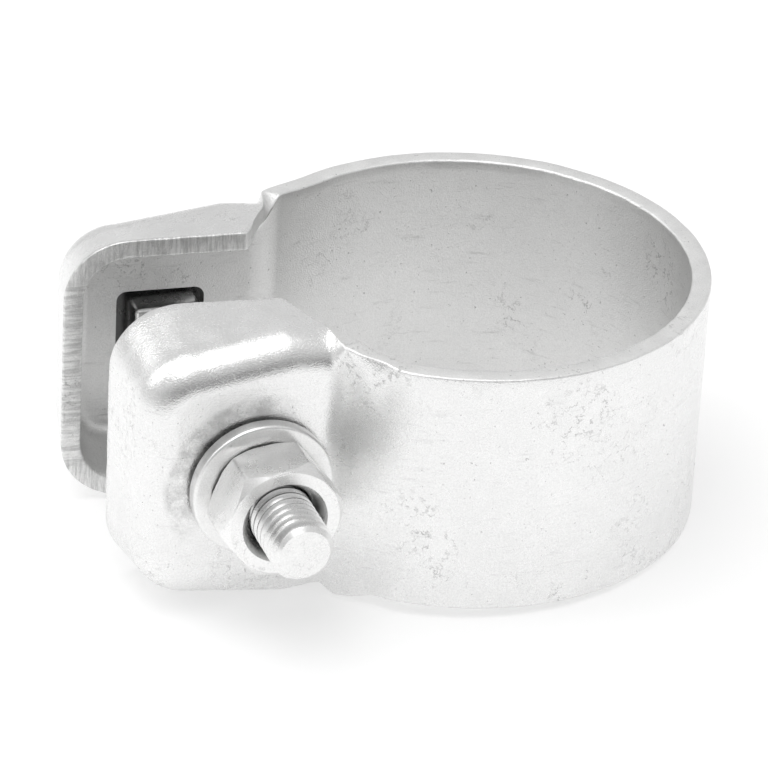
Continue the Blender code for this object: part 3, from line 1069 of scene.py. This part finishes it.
class CLAMP_OT_nut(bpy.types.Operator):
    """Makes the hexagon nut with turned chamfers and a countersunk bore."""

    bl_idname = "clamp.nut"
    bl_label = "Hexagon nut"

    def execute(self, context):
        bolt = context.scene.clamp_fasteners
        tone = context.scene.clamp_finish.nut
        metal = plated("zinc_nut", tone, roughness=0.28, relief=0.02, specks=0.5, scuffs=0.5)
        # Painted shade in the nut's bore
        painted_bore_shade(metal, bolt)
        half = bolt.nut_height / 2.0
        corner = bolt.nut_flats / 2.0 / cos(pi / 6.0)
        bpy.ops.mesh.primitive_cylinder_add(vertices=6, radius=corner, depth=bolt.nut_height)
        piece = context.object
        piece.name = "hexagon_nut"
        piece.data.transform(Matrix.Rotation(bolt.nut_turn + pi / 6.0, 4, "Z"))
        piece.data.materials.append(metal)
        bevel(piece, NUT_ROUND, segments=3)

        face = bolt.nut_flats / 2.0 - NUT_FACE_INSET
        rise = bolt.nut_chamfer / (corner - face)
        top = half + NUT_OVER
        waist = half - NUT_OVER * rise - bolt.nut_chamfer
        tip = face - NUT_OVER / rise
        rows = mirrored([(0.0, top), (tip, top), (corner + NUT_OVER, waist)])
        barrel = turned("nut_chamfers", rows, bolt.round_steps, metal)

        top = half + BORE_OVER
        flare = bolt.nut_sink + (bolt.nut_sink - bolt.nut_bore) * BORE_OVER / bolt.nut_sink_depth
        rows = mirrored([(0.0, top), (flare, top), (bolt.nut_bore, half - bolt.nut_sink_depth)])
        bore = turned("nut_bore", rows, bolt.round_steps, metal)

        seat = bolt.washer_seat + bolt.washer_thick + bolt.nut_gap
        for item in (piece, barrel, bore):
            item.matrix_world = bolt_frame(bolt, seat + half)
        boolean(piece, barrel, "INTERSECT")
        boolean(piece, bore, "DIFFERENCE")
        settle(piece, (barrel, bore), sharp=radians(25.0))
        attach(piece, "nut")
        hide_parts("hex_nut")
        return {"FINISHED"}


class CLAMP_OT_stage(bpy.types.Operator):
    """Makes the floor, the soft light and the camera."""

    bl_idname = "clamp.stage"
    bl_label = "Stage"

    def execute(self, context):
        stage = context.scene.clamp_stage
        context.scene.view_settings.view_transform = "Standard"
        self.make_floor(context, stage)
        self.make_world(context, stage)
        self.make_lamp("overhead", (-0.15, -0.05, 0.55), size=(0.5, 0.35), power=stage.key_power)
        self.make_lamp("side", (-0.40, 0.12, 0.30), size=(0.22, 0.22), power=stage.side_power)
        self.make_camera(context, stage)
        return {"FINISHED"}

    def make_floor(self, context, stage):
        """A pale floor that touches the lugs' undersides and the far side of the ring."""
        band = context.scene.clamp_band
        bpy.ops.mesh.primitive_plane_add(size=FLOOR_SIZE)
        floor = context.object
        floor.name = "floor"
        floor.rotation_euler = (0.0, -stage.floor_tilt, 0.0)
        floor.location = (band.bore_radius + band.sheet, 0.0, -band.width / 2.0)
        material = bpy.data.materials.new("pale_floor")
        material.use_nodes = True
        tree = material.node_tree
        tree.nodes.remove(tree.nodes["Principled BSDF"])
        matt = add_node(tree, "ShaderNodeBsdfDiffuse")
        matt.inputs["Color"].default_value = (*stage.floor_colour, 1.0)
        glow = add_node(tree, "ShaderNodeEmission")
        path = add_node(tree, "ShaderNodeLightPath")
        seen = calculate(tree, "MAXIMUM", path.outputs["Is Camera Ray"], path.outputs["Is Glossy Ray"])
        seen = calculate(tree, "MAXIMUM", seen, path.outputs["Is Transmission Ray"])
        tree.links.new(product(tree, seen, stage.floor_glow), glow.inputs["Strength"])
        both = add_node(tree, "ShaderNodeAddShader")
        tree.links.new(matt.outputs["BSDF"], both.inputs[0])
        tree.links.new(glow.outputs["Emission"], both.inputs[1])
        tree.links.new(both.outputs["Shader"], tree.nodes["Material Output"].inputs["Surface"])
        floor.data.materials.append(material)

    def make_world(self, context, stage):
        """White surroundings that are darker low down behind the camera."""
        world = bpy.data.worlds.new("studio")
        world.use_nodes = True
        tree = world.node_tree
        ground = tree.nodes["Background"]
        way = split(tree, add_node(tree, "ShaderNodeTexCoord").outputs["Generated"])
        front = ramp(tree, way["Y"], start=-0.35, end=-0.95)
        low = ramp(tree, way["Z"], start=0.75, end=0.15)
        dark = product(tree, front, low, stage.front_shade)
        light = product(tree, calculate(tree, "SUBTRACT", 1.0, dark), stage.world_strength)
        path = add_node(tree, "ShaderNodeLightPath")
        strength = calculate(tree, "MAXIMUM", light, path.outputs["Is Camera Ray"])
        tree.links.new(strength, ground.inputs["Strength"])
        ground.inputs["Color"].default_value = (1.0, 1.0, 1.0, 1.0)
        context.scene.world = world

    def make_lamp(self, name, place, size, power):
        """A soft rectangular lamp turned towards the clamp."""
        lamp = bpy.data.lights.new(name, "AREA")
        lamp.shape = "RECTANGLE"
        lamp.size, lamp.size_y = size
        lamp.energy = power
        item = new_object(name, lamp)
        item.location = place
        item.rotation_euler = (-item.location).to_track_quat("-Z", "Y").to_euler()

    def make_camera(self, context, stage):
        """The camera at the photograph's place."""
        lens = bpy.data.cameras.new("camera")
        lens.sensor_width = 36.0
        lens.sensor_fit = "HORIZONTAL"
        lens.lens = stage.lens / MM
        lens.clip_start = 0.01
        item = new_object("camera", lens)
        az = stage.azimuth
        el = stage.elevation
        back = Vector((sin(az) * cos(el), -cos(az) * cos(el), sin(el)))
        right = Vector((cos(az), sin(az), 0.0))
        up = back.cross(right)
        across = right * cos(stage.roll) + up * sin(stage.roll)
        upward = up * cos(stage.roll) - right * sin(stage.roll)
        turn = Matrix((across, upward, back)).transposed().to_4x4()
        item.matrix_world = Matrix.Translation((stage.camera_x, stage.camera_y, stage.camera_z)) @ turn
        context.scene.camera = item


class CLAMP_PT_panel(bpy.types.Panel):
    """Lists the clamp's pieces and settings in the sidebar."""

    bl_label = "Pipe clamp"
    bl_idname = "CLAMP_PT_panel"
    bl_space_type = "VIEW_3D"
    bl_region_type = "UI"
    bl_category = "Clamp"

    def draw(self, context):
        for operator in PIECES:
            self.layout.operator(operator.bl_idname)
        finish = context.scene.clamp_finish
        for name in ("outside", "inside", "sheared", "bolt", "washer", "nut"):
            self.layout.prop(finish, name, text=name.capitalize())


SETTINGS = {
    "clamp_band": BandSettings,
    "clamp_fasteners": FastenerSettings,
    "clamp_finish": FinishSettings,
    "clamp_stage": StageSettings,
}
PIECES = (CLAMP_OT_band, CLAMP_OT_bolt, CLAMP_OT_washer, CLAMP_OT_nut, CLAMP_OT_stage)


def register():
    """Registers the classes and the settings."""
    for cls in (*SETTINGS.values(), *PIECES, CLAMP_PT_panel):
        bpy.utils.register_class(cls)
    for name, cls in SETTINGS.items():
        setattr(bpy.types.Scene, name, PointerProperty(type=cls))


def unregister():
    """Removes the settings and the classes."""
    for name in SETTINGS:
        delattr(bpy.types.Scene, name)
    for cls in reversed((*SETTINGS.values(), *PIECES, CLAMP_PT_panel)):
        bpy.utils.unregister_class(cls)


def main():
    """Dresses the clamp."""
    register()
    bpy.ops.clamp.band()
    bpy.ops.clamp.bolt()
    bpy.ops.clamp.washer()
    bpy.ops.clamp.nut()
    bpy.ops.clamp.stage()


if __name__ == "__main__":
    main()
